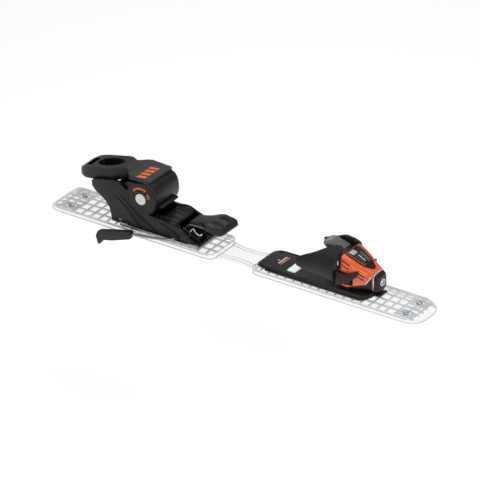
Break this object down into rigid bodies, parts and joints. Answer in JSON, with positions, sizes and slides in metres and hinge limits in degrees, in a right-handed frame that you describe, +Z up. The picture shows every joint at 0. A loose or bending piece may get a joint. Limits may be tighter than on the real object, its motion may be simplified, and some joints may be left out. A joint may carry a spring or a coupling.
{
  "type": "rail ski binding",
  "caption": "Alpine ski binding on a clear moulded rail plate: heel unit with step-in lever and brake, toe unit with wings and release screw.",
  "frame": {"origin": "centre of the rail plate's underside, where the plate sits on the ski", "axes": "+X along the ski towards the toe unit, +Y across it, +Z up out of the ski"},
  "size_m": [0.654, 0.0946, 0.1222],
  "materials": {
    "clear_plate": "clear moulded plastic, gloss",
    "black_nylon": "moulded glass-filled nylon, satin",
    "soft_black": "moulded nylon, matt",
    "orange_shell": "printed ABS, semi-gloss",
    "white_pad": "low-friction acetal, smooth",
    "grey_cap": "moulded cap, satin",
    "steel": "zinc-plated steel",
    "bright_steel": "bright plated",
    "spring_steel": "spring steel, oiled"
  },
  "bodies": {
    "plate": {"rear_plate": "clear_plate", "bridge_plate": "clear_plate", "front_plate": "clear_plate", "screw_rear_plate_left": "steel", "screw_rear_plate_right": "steel", "screw_front_plate_left": "steel", "screw_front_plate_right": "steel"},
    "heel_slide_track": {"heel_track": "steel"},
    "heel_frame": {"heel_carriage": "black_nylon", "heel_axle": "steel", "axle_cap_left": "grey_cap", "axle_cap_right": "grey_cap", "heel_pressure_spring": "spring_steel", "heel_size_pin": "steel", "brake_spring": "bright_steel"},
    "heel_size_latch": {"heel_size_lever": "soft_black"},
    "heel_cup": {"heel_jaw": "black_nylon", "heel_tread": "soft_black", "lever_pin": "steel", "heel_spring": "spring_steel"},
    "heel_ram": {"heel_piston": "steel"},
    "heel_nut": {"heel_spring_nut": "steel"},
    "heel_screw": {"heel_release_screw": "bright_steel"},
    "heel_handle": {"heel_lever": "black_nylon"},
    "brake": {"brake_pedal": "black_nylon", "brake_wire_left": "steel", "brake_wire_right": "steel", "brake_pad_left": "soft_black", "brake_pad_right": "soft_black"},
    "brake_link": {"brake_strut": "black_nylon"},
    "toe_frame": {"toe_track": "steel", "toe_base": "black_nylon", "afd_pad": "white_pad", "toe_housing": "orange_shell", "wing_pin_left": "steel", "wing_pin_right": "steel", "toe_guard_left": "soft_black", "toe_guard_right": "soft_black", "toe_lip": "soft_black", "toe_top_panel": "black_nylon", "housing_trim": "bright_steel", "front_cap": "black_nylon", "toe_spring": "spring_steel"},
    "toe_ram": {"toe_plunger": "steel"},
    "toe_nut": {"toe_spring_nut": "steel"},
    "toe_screw": {"toe_release_screw": "bright_steel"},
    "toe_size_latch": {"toe_size_lever": "soft_black"},
    "wing_l": {"wing_left": "soft_black"},
    "wing_r": {"wing_right": "soft_black"}
  },
  "joints": [
    {"name": "heel_size_slide", "type": "slide", "parent": "plate", "child": "heel_slide_track", "axis": [1, 0, 0], "range_m": [-0.06, 0.024]},
    {"name": "heel_pressure_slide", "type": "slide", "parent": "heel_slide_track", "child": "heel_frame", "axis": [-1, 0, 0], "range_m": [0, 0.008], "stiffness_N_per_m": 8000, "deforming": ["heel_pressure_spring"]},
    {"name": "heel_size_lever_hinge", "type": "hinge", "parent": "heel_frame", "child": "heel_size_latch", "pos_m": [-0.2, 0, 0.018], "axis": [0, 1, 0], "range_deg": [0, 15], "stiffness_Nm_per_rad": 0.3, "springref_deg": -11.46},
    {"name": "heel_jaw_hinge", "type": "hinge", "parent": "heel_frame", "child": "heel_cup", "pos_m": [-0.162, 0, 0.063], "axis": [0, -1, 0], "range_deg": [0, 22]},
    {"name": "heel_piston_slide", "type": "slide", "parent": "heel_cup", "child": "heel_ram", "axis": [-1, 0, 0], "range_m": [0, 0.004], "deforming": ["heel_spring"]},
    {"name": "heel_nut_slide", "type": "slide", "parent": "heel_cup", "child": "heel_nut", "axis": [1, 0, 0], "range_m": [0, 0.004], "deforming": ["heel_spring"]},
    {"name": "heel_screw_turn", "type": "hinge", "parent": "heel_cup", "child": "heel_screw", "pos_m": [-0.215, 0, 0.0578], "axis": [1, 0, 0], "range_deg": [0, 720]},
    {"name": "heel_lever_hinge", "type": "hinge", "parent": "heel_cup", "child": "heel_handle", "pos_m": [-0.156, 0, 0.0865], "axis": [0, -1, 0], "range_deg": [0, 5], "stiffness_Nm_per_rad": 6, "springref_deg": -4.58},
    {"name": "brake_hinge", "type": "hinge", "parent": "heel_frame", "child": "brake", "pos_m": [-0.1, 0, 0.0175], "axis": [0, 1, 0], "range_deg": [0, 18], "stiffness_Nm_per_rad": 2, "springref_deg": -17.19},
    {"name": "brake_strut_hinge", "type": "hinge", "parent": "brake", "child": "brake_link", "pos_m": [-0.06, 0, 0.0363], "axis": [0, 1, 0], "range_deg": [0, 25.5], "stiffness_Nm_per_rad": 0.0002, "springref_deg": 63.03},
    {"name": "toe_size_slide", "type": "slide", "parent": "plate", "child": "toe_frame", "axis": [1, 0, 0], "range_m": [-0.006, 0.05]},
    {"name": "wing_left_hinge", "type": "hinge", "parent": "toe_frame", "child": "wing_l", "pos_m": [0.197, 0.02, 0.037], "axis": [0, 0, -1], "range_deg": [0, 15], "stiffness_Nm_per_rad": 20, "springref_deg": -2.86},
    {"name": "wing_right_hinge", "type": "hinge", "parent": "toe_frame", "child": "wing_r", "pos_m": [0.197, -0.02, 0.037], "axis": [0, 0, 1], "range_deg": [0, 15], "stiffness_Nm_per_rad": 20, "springref_deg": -2.86},
    {"name": "toe_plunger_slide", "type": "slide", "parent": "toe_frame", "child": "toe_ram", "axis": [1, 0, 0], "range_m": [0, 0.004], "deforming": ["toe_spring"]},
    {"name": "toe_nut_slide", "type": "slide", "parent": "toe_frame", "child": "toe_nut", "axis": [-1, 0, 0], "range_m": [0, 0.006], "deforming": ["toe_spring"]},
    {"name": "toe_screw_turn", "type": "hinge", "parent": "toe_frame", "child": "toe_screw", "pos_m": [0.2409, 0, 0.034], "axis": [1, 0, 0], "range_deg": [0, 1080]},
    {"name": "toe_size_lever_hinge", "type": "hinge", "parent": "toe_frame", "child": "toe_size_latch", "pos_m": [0.2376, 0, 0.0146], "axis": [0, -1, 0], "range_deg": [0, 15], "stiffness_Nm_per_rad": 0.2, "springref_deg": -11.46}
  ],
  "couplings": [
    {"joint": "heel_piston_slide", "follows": "heel_jaw_hinge", "m_per_rad": 0.010416},
    {"joint": "heel_nut_slide", "follows": "heel_screw_turn", "m_per_rad": 0.0003183},
    {"joint": "brake_strut_hinge", "follows": "brake_hinge", "ratio": 1.344},
    {"joint": "toe_plunger_slide", "follows": "wing_left_hinge", "m_per_rad": 0.015278},
    {"joint": "toe_nut_slide", "follows": "toe_screw_turn", "m_per_rad": 0.0003183}
  ]
}
